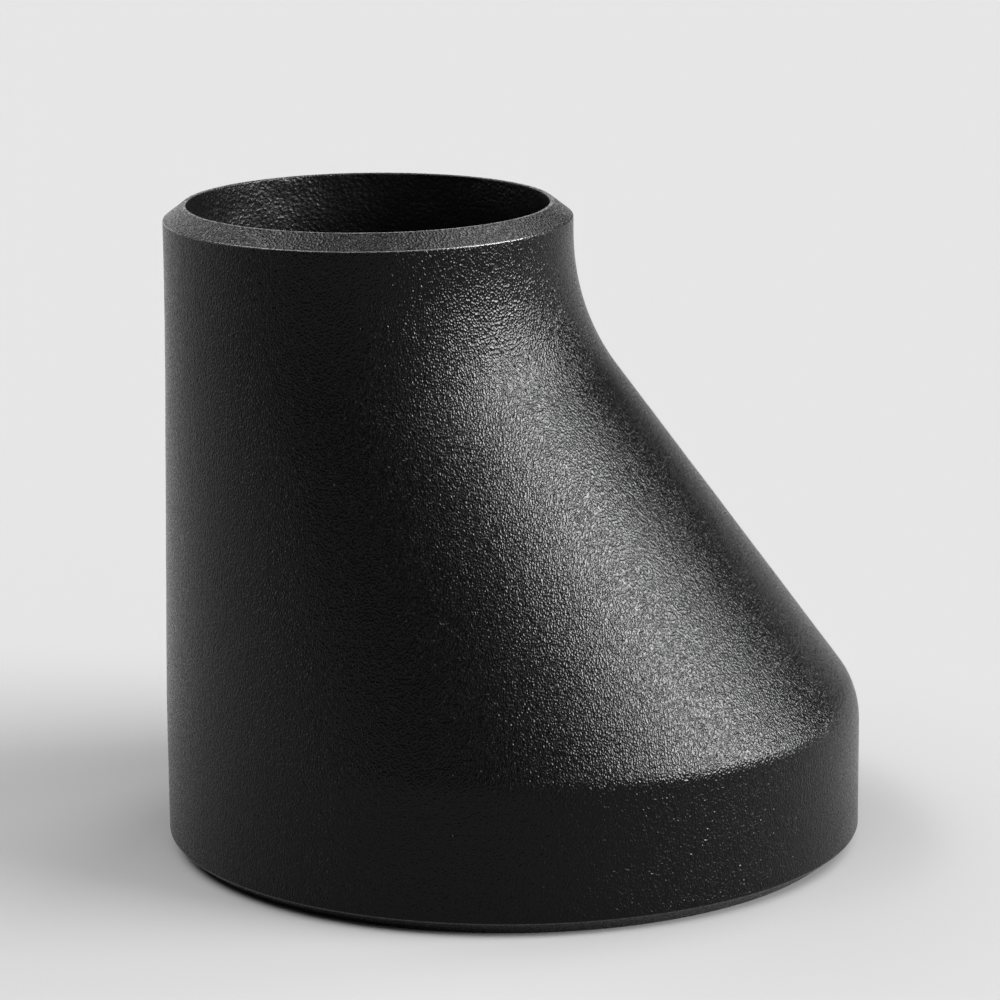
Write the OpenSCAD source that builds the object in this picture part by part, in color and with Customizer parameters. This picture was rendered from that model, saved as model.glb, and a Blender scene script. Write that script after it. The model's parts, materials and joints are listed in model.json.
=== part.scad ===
// Seamless eccentric butt-weld reducer for pipe of 133 mm and 76.1 mm.
// The origin is the centre of the large end's face, and +Z runs towards the small end.
// One side is flat and lies at -X, and the opposite side slopes in from +X.
// Every level section is a circle that touches the flat side's line.

/* [Ends] */
// Outside diameter of the large end
large_od = 133; // [125:1:145]
// Outside diameter of the small end
small_od = 76.1; // [66:0.1:86]
// Length from face to face
overall_length = 125; // [115:1:140]
// Thickness of the wall
wall = 4.5; // [3:0.1:6]

/* [Straight ends] */
// Straight length at the large end
large_straight = 23; // [15:1:26]
// Straight length at the small end
small_straight = 6; // [4:0.5:10]

/* [Bends] */
// Outer radius of the bend from the large end into the slope
shoulder_radius = 15; // [10:1:20]
// Outer radius of the bend from the slope into the small end
throat_radius = 44; // [35:1:50]
// Slices in each bend
bend_slices = 6; // [4:1:10]
// Flat sides round the sloping middle
middle_sides = 72; // [36:12:96]

/* [Weld bevels] */
// Width of the flat root face at each end
root_face = 0.9; // [0.8:0.1:2.4]
// Angle of each bevel from the plane of its face
bevel_angle = 37.5; // [30:0.5:45]

/* [Hidden] */
$fn = 128;

large_radius = large_od / 2;
small_radius = small_od / 2;
flat_x = -large_radius;
small_axis_x = flat_x + small_radius;

bevel_width = wall - root_face;
bevel_height = bevel_width * tan(bevel_angle);

// Centres of the two bends, as [x, z] in the plane through both axes
shoulder_centre = [large_radius - shoulder_radius, large_straight];
throat_centre = [flat_x + small_od + throat_radius, overall_length - small_straight];

// Angle from vertical of the straight slope that touches both bends
centre_line = throat_centre - shoulder_centre;
slope_angle = asin((shoulder_radius + throat_radius) / norm(centre_line))
    - atan2(centre_line.x, centre_line.y);

// How far inside the straight ends' walls the middle's outer and inner skins stay, so that it sits on flat rings
outer_seat = 0.12;
inner_seat = 0.03;

// The inner skin's corners stand out by this factor, so that its flat sides keep clear of the round bore
corner_reach = 1 / cos(180 / middle_sides);

// The round section that touches the flat side's line at height z and reaches across to x.
// Both sides are inset by the given depth, and reach scales its corners from its centre. It is a ring of points.
function level_ring(x, z, inset, reach) =
    let (radius = (x - flat_x - inset) / 2,
         centre_x = flat_x + inset + radius)
    [for (i = [0 : middle_sides - 1])
        let (a = 360 * i / middle_sides)
        [centre_x + reach * radius * cos(a), reach * radius * sin(a), z]];

// The rings of a skin from the shoulder up to the throat
function skin_rings(inset, reach) = concat(
    [for (i = [0 : bend_slices])
        let (a = slope_angle * i / bend_slices, r = shoulder_radius - inset)
        level_ring(shoulder_centre.x + r * cos(a), shoulder_centre.y + r * sin(a), inset, reach)],
    [for (i = [bend_slices : -1 : 0])
        let (a = slope_angle * i / bend_slices, r = throat_radius + inset)
        level_ring(throat_centre.x - r * cos(a), throat_centre.y - r * sin(a), inset, reach)]);

// The sloping middle: up the outer skin, in over the top, down the inner skin and out at the bottom
module middle() {
    outer = skin_rings(outer_seat, 1);
    inner = skin_rings(wall - inner_seat, corner_reach);
    rings = concat(outer, [for (i = [len(inner) - 1 : -1 : 0]) inner[i]]);
    points = [for (ring = rings) each ring];
    faces = [
        for (i = [0 : len(rings) - 1], j = [0 : middle_sides - 1])
            let (this_ring = i * middle_sides,
                 next_ring = (i + 1) % len(rings) * middle_sides,
                 k = (j + 1) % middle_sides)
            [this_ring + j, next_ring + j, next_ring + k, this_ring + k]
    ];
    polyhedron(points, faces, convexity = 6);
}

// A straight end standing on its root face, with the weld bevel outside and the bore inside
module straight_end(radius, length) {
    rotate_extrude()
        polygon([[radius - wall, 0],
                 [radius - bevel_width, 0],
                 [radius, bevel_height],
                 [radius, length],
                 [radius - wall, length]]);
}

module reducer_body() {
    color("#1d1e1f") {
        straight_end(large_radius, large_straight);
        middle();
        translate([small_axis_x, 0, overall_length])
            mirror([0, 0, 1])
                straight_end(small_radius, small_straight);
    }
}

reducer_body();
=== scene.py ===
"""Looks of a seamless eccentric butt-weld reducer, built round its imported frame."""
import json
import math

import bpy
import numpy as np
from mathutils import Matrix, Vector, noise


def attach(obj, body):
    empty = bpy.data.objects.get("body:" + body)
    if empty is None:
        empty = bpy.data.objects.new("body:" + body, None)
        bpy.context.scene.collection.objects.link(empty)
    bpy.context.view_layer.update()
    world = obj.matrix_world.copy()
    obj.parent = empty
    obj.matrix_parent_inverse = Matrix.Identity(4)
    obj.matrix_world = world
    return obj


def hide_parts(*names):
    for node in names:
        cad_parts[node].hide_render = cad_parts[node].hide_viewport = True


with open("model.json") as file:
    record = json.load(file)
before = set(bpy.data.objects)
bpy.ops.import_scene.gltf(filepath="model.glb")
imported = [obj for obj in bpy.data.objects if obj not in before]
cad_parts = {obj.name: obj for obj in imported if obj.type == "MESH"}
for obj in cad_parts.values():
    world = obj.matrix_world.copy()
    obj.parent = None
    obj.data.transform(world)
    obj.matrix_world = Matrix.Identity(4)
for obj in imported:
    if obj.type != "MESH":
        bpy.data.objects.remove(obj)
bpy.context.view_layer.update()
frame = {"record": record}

MM = 0.001

# ---------------------------------------------------------------- sizes from the frame

MOUNTS = {mount["name"]: mount for mount in frame["record"]["mounts"]}


def mount_size(name, key):
    """One size of a mount, in metres."""
    return MOUNTS[name]["dims"][key] * MM


HEIGHT = MOUNTS["small_end_face"]["pos_m"][2]
LARGE_RADIUS = mount_size("large_end_od", "r_mm")
SMALL_RADIUS = mount_size("small_end_od", "r_mm")
LARGE_BORE = mount_size("large_end_bore", "r_mm")
LARGE_STRAIGHT = mount_size("large_end_bore", "length_mm")
SMALL_STRAIGHT = mount_size("small_end_bore", "length_mm")
SMALL_AXIS = MOUNTS["small_end_bore"]["pos_m"][0]
FLAT_SIDE = -LARGE_RADIUS
WALL = LARGE_RADIUS - LARGE_BORE
BEVEL_HEIGHT = LARGE_STRAIGHT - mount_size("large_end_od", "length_mm")

# The face's mount lies on the middle of the root face
ROOT_FACE = 2 * (MOUNTS["large_end_face"]["pos_m"][0] - LARGE_BORE)

# Outer radii of the two bends; the shoulder sharpens to a crease towards the sides
SHOULDER_RADIUS = 15 * MM
CREASE_RADIUS = 4.5 * MM
THROAT_RADIUS = 44 * MM

# Degrees round from the sloping side where the shoulder starts to sharpen and where it is a crease
SHARPENS_FROM = 30
CREASE_FROM = 60

# ---------------------------------------------------------------- mesh density

RING_POINTS = 324
SKIN_STEP = 1.0 * MM
BORE_STEP = 1.8 * MM
CORNER_STEPS = 4
BEND_STEPS = 22

# Radii of each end's rounded edges: at the bore, at the root face and at the top of the bevel
EDGE_SOFTNESS = (0.3 * MM, 0.25 * MM, 0.35 * MM)

# Zones of the surface, which are also the numbers of their materials
SKIN, BEVEL, EDGE, BORE = range(4)

# ---------------------------------------------------------------- unevenness of the surface
# Each is the size of its swells and how deep they go.

SKIN_SWELLS = (9 * MM, 0.05 * MM)
SKIN_DIMPLES = (3.5 * MM, 0.015 * MM)
BORE_LUMPS = (4.5 * MM, 0.3 * MM)

# Rings to each side over which the outside's unevenness gives way to the bore's
BLEND_RINGS = 3


# ---------------------------------------------------------------- rings round the wall
# A ring is (x on the flat side, x on the sloping side, height).

def slope_angle():
    """Angle from vertical of the slope that touches both bends."""
    across = FLAT_SIDE + 2 * SMALL_RADIUS + THROAT_RADIUS - (LARGE_RADIUS - SHOULDER_RADIUS)
    up = HEIGHT - SMALL_STRAIGHT - LARGE_STRAIGHT
    lean = math.asin((SHOULDER_RADIUS + THROAT_RADIUS) / math.hypot(across, up))
    return lean - math.atan2(across, up)


def arc(centre, radius, first, last, steps=BEND_STEPS):
    """Points of an arc, with angles from +X towards +Z."""
    angles = [first + (last - first) * i / steps for i in range(steps + 1)]
    return [(centre[0] + radius * math.cos(a), centre[1] + radius * math.sin(a)) for a in angles]


def rounded(before, corner, after, radius):
    """The points of a corner rounded off to the given radius."""
    corner = Vector(corner)
    back = (Vector(before) - corner).normalized()
    ahead = (Vector(after) - corner).normalized()
    half = back.angle(ahead) / 2
    centre = corner + (back + ahead).normalized() * radius / math.sin(half)
    start = corner + back * radius / math.tan(half) - centre
    turn = start.angle_signed(corner + ahead * radius / math.tan(half) - centre)
    spins = [Matrix.Rotation(-turn * i / CORNER_STEPS, 2) for i in range(CORNER_STEPS + 1)]
    return [tuple(centre + spin @ start) for spin in spins]


def end_corners(radius):
    """The rounded edges of one end, from its bore round to its outside, as (radius, height).

    The first and the last stop only give the direction of the walls.
    """
    bore = radius - WALL
    stops = [
        (bore, SMALL_STRAIGHT),
        (bore, 0),
        (bore + ROOT_FACE, 0),
        (radius, BEVEL_HEIGHT),
        (radius, SMALL_STRAIGHT),
    ]
    points = []
    for i, softness in enumerate(EDGE_SOFTNESS, start=1):
        points += rounded(stops[i - 1], stops[i], stops[i + 1], softness)
    return points


def large_end():
    """Rings of the large end, from its bore round to its outside."""
    return [(-r, r, z) for r, z in end_corners(LARGE_RADIUS)]


def small_end():
    """Rings of the small end, from its outside round to its bore."""
    corners = reversed(end_corners(SMALL_RADIUS))
    return [(SMALL_AXIS - r, SMALL_AXIS + r, HEIGHT - z) for r, z in corners]


def middle(inset):
    """Rings of the sloping middle at one depth in the wall, from the large end up."""
    angle = slope_angle()
    shoulder = (LARGE_RADIUS - SHOULDER_RADIUS, LARGE_STRAIGHT)
    throat = (FLAT_SIDE + 2 * SMALL_RADIUS + THROAT_RADIUS, HEIGHT - SMALL_STRAIGHT)
    points = arc(shoulder, SHOULDER_RADIUS - inset, 0, angle)
    points += arc(throat, THROAT_RADIUS + inset, math.pi + angle, math.pi)
    return [(FLAT_SIDE + inset, x, z) for x, z in points]


def filled(rings, step):
    """The rings, with more between any two that are further apart than the step."""
    full = []
    for this, following in zip(rings, rings[1:]):
        gap = max(math.dist(this[::2], following[::2]), math.dist(this[1:], following[1:]))
        count = max(1, math.ceil(gap / step))
        full += [
            tuple(a + (b - a) * i / count for a, b in zip(this, following))
            for i in range(count)
        ]
    return full


def wall_rings():
    """Every ring of the closed wall, and the zone of the strip that follows it."""
    low, high = large_end(), small_end()
    outside = [low[-1], *middle(0), high[0]]
    inside = [high[-1], *reversed(middle(WALL)), low[0]]
    legs = [
        (BEVEL, filled(low[:-CORNER_STEPS], SKIN_STEP)),
        (EDGE, filled(low[-CORNER_STEPS - 1:], SKIN_STEP)),
        (SKIN, filled(outside, SKIN_STEP)),
        (EDGE, filled(high[:CORNER_STEPS + 1], SKIN_STEP)),
        (BEVEL, filled(high[CORNER_STEPS:], SKIN_STEP)),
        (BORE, filled(inside, BORE_STEP)),
    ]
    rings = [ring for zone, leg in legs for ring in leg]
    zones = [zone for zone, leg in legs for ring in leg]
    return np.array(rings), np.array(zones, np.int32)


# ---------------------------------------------------------------- mesh

def smooth(values, low, high):
    """0 at low and 1 at high, smooth between."""
    share = np.clip((values - low) / (high - low), 0, 1)
    return share * share * (3 - 2 * share)


def shoulder(height, turn):
    """x of the outside on the sloping side near the shoulder, at each height and turn round the ring."""
    angle = slope_angle()
    meeting = LARGE_STRAIGHT + SHOULDER_RADIUS * math.tan(angle / 2)
    starts, ends = (-math.cos(math.radians(degrees)) for degrees in (SHARPENS_FROM, CREASE_FROM))
    sharp = smooth(-np.cos(turn), starts, ends)
    radius = SHOULDER_RADIUS + (CREASE_RADIUS - SHOULDER_RADIUS) * sharp
    into_bend = height - (meeting - radius * math.tan(angle / 2))
    bend = LARGE_RADIUS - radius + np.sqrt(np.maximum(radius ** 2 - into_bend ** 2, 0))
    slope = LARGE_RADIUS - (height - meeting) * math.tan(angle)
    x = np.where(into_bend > radius * math.sin(angle), slope, bend)
    return np.where(into_bend < 0, LARGE_RADIUS, x)


def ring_points(rings, zones):
    """Every ring's points, as an array of rings by points by x, y and z."""
    turn = np.arange(RING_POINTS) * 2 * math.pi / RING_POINTS
    flat, slope, height = (column[:, None] for column in rings.T)
    near_shoulder = (zones[:, None] == SKIN) & (height < LARGE_STRAIGHT + SHOULDER_RADIUS)
    slope = np.where(near_shoulder, shoulder(height, turn), slope)
    radius, centre = (slope - flat) / 2, (slope + flat) / 2
    points = (centre + radius * np.cos(turn), radius * np.sin(turn), height + 0 * turn)
    return np.stack(points, 2)


def inward(points):
    """The direction into the wall at every point."""
    along = np.roll(points, -1, 1) - np.roll(points, 1, 1)
    across = np.roll(points, -1, 0) - np.roll(points, 1, 0)
    out = np.cross(along, across)
    return -out / np.linalg.norm(out, axis=2, keepdims=True)


def swells(points, size):
    """Smooth random lumps of one size, from 0 to 1."""
    lumps = [noise.noise(Vector(p) / size) for p in points.reshape(-1, 3)]
    return np.clip(0.5 + np.array(lumps) * 0.5, 0, 1).reshape(points.shape[:2])


def uneven(points, zones):
    """The points pushed a little into the wall: gently outside, deeper in the rough bore."""
    around = 2 * BLEND_RINGS + 1
    in_bore = np.convolve(np.pad(zones == BORE, BLEND_RINGS, "wrap"), np.ones(around), "valid")
    in_bore = (in_bore / around)[:, None]
    depth = np.zeros(points.shape[:2])
    for (size, deep), share in (
        (SKIN_SWELLS, 1 - in_bore),
        (SKIN_DIMPLES, 1 - in_bore),
        (BORE_LUMPS, in_bore),
    ):
        depth += swells(points, size) * deep * share
    return points + inward(points) * depth[:, :, None]


def strips(count):
    """The quads that join each ring to the next one, and the last to the first."""
    ring, place = np.divmod(np.arange(count * RING_POINTS), RING_POINTS)
    above = (ring + 1) % count * RING_POINTS
    beside = (place + 1) % RING_POINTS
    corners = (ring * RING_POINTS + place, ring * RING_POINTS + beside, above + beside, above + place)
    return np.stack(corners, 1)


def make_body():
    """The whole fitting as one closed mesh, with its materials by zone."""
    rings, zones = wall_rings()
    points = uneven(ring_points(rings, zones), zones)
    mesh = bpy.data.meshes.new("reducer_wall")
    mesh.from_pydata(points.reshape(-1, 3).tolist(), [], strips(len(rings)).tolist())
    mesh.shade_smooth()
    mesh.polygons.foreach_set("material_index", np.repeat(zones, RING_POINTS))
    mesh.update()
    for material in (skin_paint(), bevel_paint(), edge_paint(), bore_paint()):
        mesh.materials.append(material)
    body = bpy.data.objects.new("reducer_wall", mesh)
    bpy.context.scene.collection.objects.link(body)
    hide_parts("reducer_body")
    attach(body, "root")


# ---------------------------------------------------------------- node trees

class Nodes:
    """A node tree, with short calls for what repeats."""

    def __init__(self, tree):
        self.tree = tree

    def feed(self, socket, value):
        """Give a socket a value, or link another node's output to it."""
        if isinstance(value, bpy.types.NodeSocket):
            self.tree.links.new(value, socket)
        else:
            socket.default_value = value

    def node(self, kind, settings=(), **inputs):
        """A node with its settings and inputs; an underscore stands for a space in an input's name."""
        made = self.tree.nodes.new("ShaderNode" + kind)
        for key, value in dict(settings).items():
            setattr(made, key, value)
        for key, value in inputs.items():
            self.feed(made.inputs[key.replace("_", " ")], value)
        return made

    def calc(self, operation, *values):
        """The result of one math operation."""
        made = self.node("Math", {"operation": operation})
        for socket, value in zip(made.inputs, values):
            self.feed(socket, value)
        return made.outputs[0]


# ---------------------------------------------------------------- materials

# Where most of a noise's values lie
NOISE_BULK = (0.35, 0.65)

# Share of a pit's radius that is its flat bottom
PIT_BOTTOM = 0.3


class Paint(Nodes):
    """One material's nodes. Sizes and depths of its patterns are in millimetres."""

    def __init__(self, name, tall=1.0):
        """Patterns are the given number of times taller than wide."""
        self.material = bpy.data.materials.new(name)
        self.material.use_nodes = True
        super().__init__(self.material.node_tree)
        self.shader = self.tree.nodes["Principled BSDF"]
        place = self.node("TexCoord").outputs["Object"]
        self.place = self.scaled(place, (1 / MM, 1 / MM, 1 / MM / tall))

    def scaled(self, vector, factors):
        """The vector with each of its parts multiplied by its own factor."""
        made = self.node("VectorMath", {"operation": "MULTIPLY"})
        self.feed(made.inputs[0], vector)
        self.feed(made.inputs[1], factors)
        return made.outputs[0]

    def noise(self, size, detail=2.0, roughness=0.5):
        """Noise whose lumps are about the given size, from 0 to 1."""
        made = self.node(
            "TexNoise", Vector=self.place, Scale=1 / size, Detail=detail, Roughness=roughness,
        )
        return made.outputs["Fac"]

    def spread(self, value, span, onto=(0.0, 1.0)):
        """The value's span stretched onto another one and held at its ends."""
        made = self.node(
            "MapRange", Value=value,
            From_Min=span[0], From_Max=span[1], To_Min=onto[0], To_Max=onto[1],
        )
        return made.outputs["Result"]

    def grey(self, mix, dark, light):
        """A grey between two tones."""
        return self.spread(mix, (0.0, 1.0), onto=(dark, light))

    def pits(self, spacing, radius, share):
        """1 in small round pits in some of the cells, 0 elsewhere."""
        cell = self.node("TexVoronoi", Vector=self.place, Scale=1 / spacing)
        rim = radius / spacing
        near = self.spread(cell.outputs["Distance"], (rim, PIT_BOTTOM * rim))
        draw = self.node("SeparateColor", Color=cell.outputs["Color"]).outputs[0]
        chosen = self.calc("LESS_THAN", draw, share)
        return self.calc("MULTIPLY", near, chosen)

    def bump(self, height, depth, under=None):
        """A bump whose height 1 is the given depth, over the one under it."""
        made = self.node("Bump", Height=height, Distance=depth * MM, Strength=1.0)
        if under is not None:
            self.feed(made.inputs["Normal"], under)
        return made.outputs["Normal"]

    def finished(self, normal, tone, roughness, specular):
        """The material, with everything joined to its shader."""
        self.feed(self.shader.inputs["Normal"], normal)
        self.feed(self.shader.inputs["Base Color"], tone)
        self.feed(self.shader.inputs["Roughness"], roughness)
        self.feed(self.shader.inputs["Specular IOR Level"], specular)
        return self.material


def skin_paint():
    """Semi-gloss black paint over a fine blasted grain."""
    n = Paint("skin_paint", tall=1.4)
    grain = n.noise(size=0.30, detail=0.0)
    pits = n.pits(spacing=2.8, radius=0.25, share=0.3)
    normal = n.bump(n.noise(size=3.0), depth=0.03)
    normal = n.bump(n.noise(size=1.1, detail=1.0), depth=0.07, under=normal)
    normal = n.bump(grain, depth=0.15, under=normal)
    normal = n.bump(n.calc("MULTIPLY", pits, -1.0), depth=0.12, under=normal)
    return n.finished(
        normal,
        tone=n.grey(grain, dark=0.0001, light=0.0012),
        roughness=n.spread(grain, NOISE_BULK, onto=(0.32, 0.14)),
        specular=0.13,
    )


def bevel_paint():
    """Thinner, duller paint on the machined bevels and root faces."""
    n = Paint("bevel_paint")
    grain = n.noise(size=0.42, detail=0.0)
    return n.finished(
        n.bump(grain, depth=0.19),
        tone=n.grey(n.spread(grain, (0.3, 0.7)), dark=0.0, light=0.002),
        roughness=n.spread(grain, NOISE_BULK, onto=(0.5, 0.2)),
        specular=0.15,
    )


def edge_paint():
    """Paint rubbed smooth and thin along the sharp edge of each bevel."""
    n = Paint("edge_paint")
    rubbed = n.noise(size=1.1, detail=3.0, roughness=0.6)
    return n.finished(
        n.bump(n.noise(size=0.5, detail=0.0), depth=0.12),
        tone=n.grey(n.spread(rubbed, (0.45, 0.7)), dark=0.001, light=0.012),
        roughness=n.spread(rubbed, NOISE_BULK, onto=(0.34, 0.18)),
        specular=0.5,
    )


def bore_paint():
    """Paint over the coarse scale left inside by hot forming."""
    n = Paint("bore_paint")
    lumps = n.noise(size=0.65, detail=1.0)
    return n.finished(
        n.bump(lumps, depth=0.19),
        tone=n.grey(lumps, dark=0.0005, light=0.0015),
        roughness=n.spread(lumps, NOISE_BULK, onto=(0.42, 0.3)),
        specular=0.13,
    )


# ---------------------------------------------------------------- camera

CAMERA_TURN = math.radians(23.53)
CAMERA_HEIGHT = math.radians(13.235)
CAMERA_ROLL = math.radians(-0.51)
CAMERA_DISTANCE = 841.9 * MM
CAMERA_AIM = Vector((-2.15, 0, 65.4)) * MM

# Focal length in millimetres, for a sensor 36 mm wide
CAMERA_LENS = 159.06

# How far the camera sees, in metres
CLIP_END = 20


def make_camera():
    """A camera that looks from -Y, turned clockwise round the fitting as seen from above."""
    data = bpy.data.cameras.new("camera")
    data.lens = CAMERA_LENS
    data.clip_end = CLIP_END
    camera = bpy.data.objects.new("camera", data)
    bpy.context.scene.collection.objects.link(camera)
    back = Vector((0, -math.cos(CAMERA_HEIGHT), math.sin(CAMERA_HEIGHT)))
    place = Matrix.Translation(CAMERA_AIM + back * CAMERA_DISTANCE)
    tilt = Matrix.Rotation(math.pi / 2 - CAMERA_HEIGHT, 4, "X") @ Matrix.Rotation(CAMERA_ROLL, 4, "Z")
    camera.matrix_world = Matrix.Rotation(-CAMERA_TURN, 4, "Z") @ place @ tilt
    bpy.context.scene.camera = camera


# ---------------------------------------------------------------- lights
# Each is a far soft panel. Its azimuth is in degrees right of the camera's side, to its middle.
# Low and high are its lowest and highest degrees up, width its degrees across, where more than
# 360 is all the way round, and soft the degrees of its soft edge.

PANELS = {
    "key": dict(azimuth=76, low=10, high=27, width=44, soft=8, radiance=62.0),
    "key_edge": dict(azimuth=35, low=12, high=27, width=40, soft=16, radiance=2.5),
    "left_strip": dict(azimuth=-95, low=0, high=9, width=45, soft=6, radiance=3.0),
    "back_strip": dict(azimuth=195, low=0, high=25, width=56, soft=8, radiance=1.6),
    "back_right": dict(azimuth=135, low=38, high=62, width=44, soft=12, radiance=11.0),
    "side_top": dict(azimuth=-25, low=43, high=61, width=240, soft=12, radiance=12.5),
    "overhead": dict(azimuth=0, low=76, high=91, width=400, soft=8, radiance=0.9),
}

# Degrees of soft edge along the foot of every panel
BOTTOM_EDGE = 2

# Radiance of the room between the panels, and what the camera sees past the floor instead
ROOM_GLOW = 0.04
BACKGROUND_TONE = 0.77


class Sky(Nodes):
    """The world's nodes: far soft panels in a dim room."""

    def __init__(self):
        world = bpy.data.worlds.new("studio")
        bpy.context.scene.world = world
        world.use_nodes = True
        super().__init__(world.node_tree)
        self.background = self.tree.nodes["Background"]
        self.towards = self.node("TexCoord").outputs["Generated"]
        height = self.node("SeparateXYZ", Vector=self.towards).outputs["Z"]
        self.rise = self.calc("ARCSINE", height)

    def edge(self, angle, start, end):
        """0 at the start angle and 1 at the end angle, smooth between; both are in degrees."""
        made = self.node(
            "MapRange", {"interpolation_type": "SMOOTHSTEP"},
            Value=angle, From_Min=math.radians(start), From_Max=math.radians(end),
        )
        return made.outputs["Result"]

    def around(self, azimuth):
        """Angle round from the azimuth's direction, always positive."""
        spin = math.pi / 2 - math.radians(azimuth) + CAMERA_TURN
        turned = self.node("VectorRotate", {"rotation_type": "Z_AXIS"}, Vector=self.towards, Angle=spin)
        flat = self.node("SeparateXYZ", Vector=turned.outputs[0])
        return self.calc("ABSOLUTE", self.calc("ARCTAN2", flat.outputs["Y"], flat.outputs["X"]))

    def panel(self, azimuth, low, high, width, soft, radiance):
        """The light of one panel, which is 0 outside it."""
        foot = self.edge(self.rise, low - BOTTOM_EDGE / 2, low + BOTTOM_EDGE / 2)
        top = self.edge(self.rise, high + soft / 2, high - soft / 2)
        sides = self.edge(self.around(azimuth), width / 2 + soft / 2, width / 2 - soft / 2)
        shape = self.calc("MULTIPLY", self.calc("MULTIPLY", foot, top), sides)
        return self.calc("MULTIPLY", shape, radiance)


def make_world():
    """Panels of light in a dim room, which looks pale where the camera sees past the floor."""
    sky = Sky()
    light = ROOM_GLOW
    for facts in PANELS.values():
        light = sky.calc("ADD", sky.panel(**facts), light)
    seen = sky.node("LightPath").outputs["Is Camera Ray"]
    shown = sky.calc("MULTIPLY", seen, BACKGROUND_TONE)
    unseen = sky.calc("MULTIPLY", sky.calc("SUBTRACT", 1.0, seen), light)
    sky.feed(sky.background.inputs["Strength"], sky.calc("ADD", shown, unseen))
    sky.feed(sky.background.inputs["Color"], (1, 1, 1, 1))


# ---------------------------------------------------------------- floor

FLOOR_TONE = 0.174

# Metres from the middle of the floor to each of its edges
FLOOR_REACH = 8


def make_floor():
    """A wide plain matt floor, grey in itself and pale under the strong lights."""
    mesh = bpy.data.meshes.new("floor")
    sides = ((-1, -1), (1, -1), (1, 1), (-1, 1))
    corners = [(x * FLOOR_REACH, y * FLOOR_REACH, 0) for x, y in sides]
    mesh.from_pydata(corners, [], [(0, 1, 2, 3)])
    material = bpy.data.materials.new("floor_paper")
    material.use_nodes = True
    shader = material.node_tree.nodes["Principled BSDF"]
    shader.inputs["Base Color"].default_value = (FLOOR_TONE, FLOOR_TONE, FLOOR_TONE, 1)
    shader.inputs["Roughness"].default_value = 1
    shader.inputs["Specular IOR Level"].default_value = 0
    mesh.materials.append(material)
    floor = bpy.data.objects.new("floor", mesh)
    bpy.context.scene.collection.objects.link(floor)


# ---------------------------------------------------------------- the scene

make_body()
make_floor()
make_world()
make_camera()
bpy.context.scene.view_settings.view_transform = "Standard"
